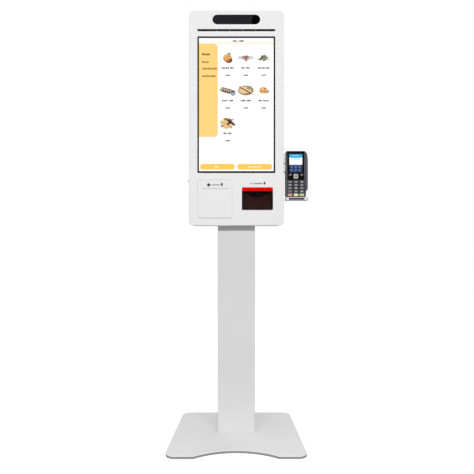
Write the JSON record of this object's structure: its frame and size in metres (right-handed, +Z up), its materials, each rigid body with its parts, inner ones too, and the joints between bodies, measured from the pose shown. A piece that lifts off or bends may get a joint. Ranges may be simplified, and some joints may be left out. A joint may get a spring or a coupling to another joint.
{
  "type": "self checkout kiosk",
  "caption": "Free-standing self checkout kiosk: portrait touch screen head with receipt printer, code scanner and payment terminal, on a column and flat base.",
  "frame": {"origin": "on the floor on the centre line of the base plate, 4 mm behind the middle of its depth", "axes": "+X to the viewer's right, -Y towards the customer at the front, +Z up"},
  "size_m": [0.5, 0.418, 1.559],
  "materials": {
    "white_paint": "fine textured powder coat, near white",
    "column_paint": "fine textured powder coat, light grey white",
    "black_glass": "polished black-backed glass",
    "dark_plastic": "matt moulded black plastic",
    "bar_plastic": "smoked translucent plastic",
    "screen_face": "lit display face",
    "maroon_plastic": "matt dark maroon plastic",
    "red_diffuser": "lit red diffuser",
    "scanner_glass": "clear cover glass",
    "steel": "zinc-plated sheet steel",
    "chrome": "satin chrome",
    "board": "green solder mask",
    "paper": "white thermal paper",
    "rubber": "black rubber",
    "terminal_grey": "moulded dark grey plastic",
    "key_grey": "grey silicone keys",
    "key_light": "light grey key",
    "key_red": "red silicone key",
    "key_yellow": "yellow silicone key",
    "key_green": "green silicone key",
    "switch_red": "glossy rocker",
    "cradle_grey": "light grey satin plastic and paint"
  },
  "bodies": {
    "kiosk": {"base_plate": "white_paint", "base_bolt_1": "steel", "base_bolt_2": "steel", "base_bolt_3": "steel", "base_bolt_4": "steel", "column": "column_paint", "column_rear_cover": "column_paint", "column_top_cap": "dark_plastic", "power_inlet": "dark_plastic", "switch_housing": "dark_plastic", "rear_housing": "white_paint", "head_mount_plate": "steel", "front_panel": "white_paint", "camera_window": "black_glass", "camera_module": "dark_plastic", "light_bar": "bar_plastic", "touch_glass": "black_glass", "lcd_panel": "screen_face", "lcd_back_plate": "steel", "main_board": "board", "power_supply": "steel", "speaker_left": "dark_plastic", "speaker_right": "dark_plastic", "door_hinge_pin": "steel", "printer_chassis": "steel", "print_head": "dark_plastic", "scanner_window": "scanner_glass", "scanner_hood": "maroon_plastic", "scanner_light": "red_diffuser", "scanner_module": "dark_plastic", "lock_body": "chrome", "terminal_front_shell": "terminal_grey", "terminal_rear_shell": "terminal_grey", "terminal_lens": "black_glass", "terminal_board": "board", "terminal_cradle": "cradle_grey", "terminal_bracket": "cradle_grey"},
    "door": {"printer_door": "white_paint"},
    "lock": {"lock_cylinder": "chrome"},
    "roll": {"paper_roll": "paper"},
    "platen": {"platen_roller": "rubber"},
    "rocker": {"switch_rocker": "switch_red"},
    "key_menu_left": {"terminal_key_menu_left": "key_grey"},
    "key_menu_right": {"terminal_key_menu_right": "key_grey"},
    "key_centre": {"terminal_key_centre": "key_light"},
    "key_1": {"terminal_key_1": "key_grey"},
    "key_2": {"terminal_key_2": "key_grey"},
    "key_3": {"terminal_key_3": "key_grey"},
    "key_4": {"terminal_key_4": "key_grey"},
    "key_5": {"terminal_key_5": "key_grey"},
    "key_6": {"terminal_key_6": "key_grey"},
    "key_7": {"terminal_key_7": "key_grey"},
    "key_8": {"terminal_key_8": "key_grey"},
    "key_9": {"terminal_key_9": "key_grey"},
    "key_star": {"terminal_key_star": "key_grey"},
    "key_0": {"terminal_key_0": "key_grey"},
    "key_hash": {"terminal_key_hash": "key_grey"},
    "key_cancel": {"terminal_key_cancel": "key_red"},
    "key_clear": {"terminal_key_clear": "key_yellow"},
    "key_enter": {"terminal_key_enter": "key_green"}
  },
  "joints": [
    {"name": "door_hinge", "type": "hinge", "parent": "kiosk", "child": "door", "pos_m": [-0.0764, -0.0953, 0.8263], "axis": [1, 0, 0], "range_deg": [0, 85]},
    {"name": "lock_turn", "type": "hinge", "parent": "kiosk", "child": "lock", "pos_m": [-0.15, -0.07, 0.949], "axis": [1, 0, 0], "range_deg": [0, 90]},
    {"name": "paper_roll_spin", "type": "hinge", "parent": "kiosk", "child": "roll", "pos_m": [-0.0755, -0.048, 0.868], "axis": [1, 0, 0], "continuous": true},
    {"name": "platen_roller_spin", "type": "hinge", "parent": "kiosk", "child": "platen", "pos_m": [-0.0755, -0.074, 0.912], "axis": [1, 0, 0], "continuous": true},
    {"name": "power_switch_rock", "type": "hinge", "parent": "kiosk", "child": "rocker", "pos_m": [0.03, 0.0615, 0.09], "axis": [1, 0, 0], "range_deg": [-20, 0]},
    {"name": "terminal_key_menu_left_press", "type": "slide", "parent": "kiosk", "child": "key_menu_left", "axis": [0, 1, 0], "range_m": [0, 0.0012], "stiffness_N_per_m": 600},
    {"name": "terminal_key_menu_right_press", "type": "slide", "parent": "kiosk", "child": "key_menu_right", "axis": [0, 1, 0], "range_m": [0, 0.0012], "stiffness_N_per_m": 600},
    {"name": "terminal_key_centre_press", "type": "slide", "parent": "kiosk", "child": "key_centre", "axis": [0, 1, 0], "range_m": [0, 0.0012], "stiffness_N_per_m": 600},
    {"name": "terminal_key_1_press", "type": "slide", "parent": "kiosk", "child": "key_1", "axis": [0, 1, 0], "range_m": [0, 0.0012], "stiffness_N_per_m": 600},
    {"name": "terminal_key_2_press", "type": "slide", "parent": "kiosk", "child": "key_2", "axis": [0, 1, 0], "range_m": [0, 0.0012], "stiffness_N_per_m": 600},
    {"name": "terminal_key_3_press", "type": "slide", "parent": "kiosk", "child": "key_3", "axis": [0, 1, 0], "range_m": [0, 0.0012], "stiffness_N_per_m": 600},
    {"name": "terminal_key_4_press", "type": "slide", "parent": "kiosk", "child": "key_4", "axis": [0, 1, 0], "range_m": [0, 0.0012], "stiffness_N_per_m": 600},
    {"name": "terminal_key_5_press", "type": "slide", "parent": "kiosk", "child": "key_5", "axis": [0, 1, 0], "range_m": [0, 0.0012], "stiffness_N_per_m": 600},
    {"name": "terminal_key_6_press", "type": "slide", "parent": "kiosk", "child": "key_6", "axis": [0, 1, 0], "range_m": [0, 0.0012], "stiffness_N_per_m": 600},
    {"name": "terminal_key_7_press", "type": "slide", "parent": "kiosk", "child": "key_7", "axis": [0, 1, 0], "range_m": [0, 0.0012], "stiffness_N_per_m": 600},
    {"name": "terminal_key_8_press", "type": "slide", "parent": "kiosk", "child": "key_8", "axis": [0, 1, 0], "range_m": [0, 0.0012], "stiffness_N_per_m": 600},
    {"name": "terminal_key_9_press", "type": "slide", "parent": "kiosk", "child": "key_9", "axis": [0, 1, 0], "range_m": [0, 0.0012], "stiffness_N_per_m": 600},
    {"name": "terminal_key_star_press", "type": "slide", "parent": "kiosk", "child": "key_star", "axis": [0, 1, 0], "range_m": [0, 0.0012], "stiffness_N_per_m": 600},
    {"name": "terminal_key_0_press", "type": "slide", "parent": "kiosk", "child": "key_0", "axis": [0, 1, 0], "range_m": [0, 0.0012], "stiffness_N_per_m": 600},
    {"name": "terminal_key_hash_press", "type": "slide", "parent": "kiosk", "child": "key_hash", "axis": [0, 1, 0], "range_m": [0, 0.0012], "stiffness_N_per_m": 600},
    {"name": "terminal_key_cancel_press", "type": "slide", "parent": "kiosk", "child": "key_cancel", "axis": [0, 1, 0], "range_m": [0, 0.0012], "stiffness_N_per_m": 600},
    {"name": "terminal_key_clear_press", "type": "slide", "parent": "kiosk", "child": "key_clear", "axis": [0, 1, 0], "range_m": [0, 0.0012], "stiffness_N_per_m": 600},
    {"name": "terminal_key_enter_press", "type": "slide", "parent": "kiosk", "child": "key_enter", "axis": [0, 1, 0], "range_m": [0, 0.0012], "stiffness_N_per_m": 600}
  ],
  "couplings": [
    {"joint": "platen_roller_spin", "follows": "paper_roll_spin", "ratio": -4.6667}
  ]
}
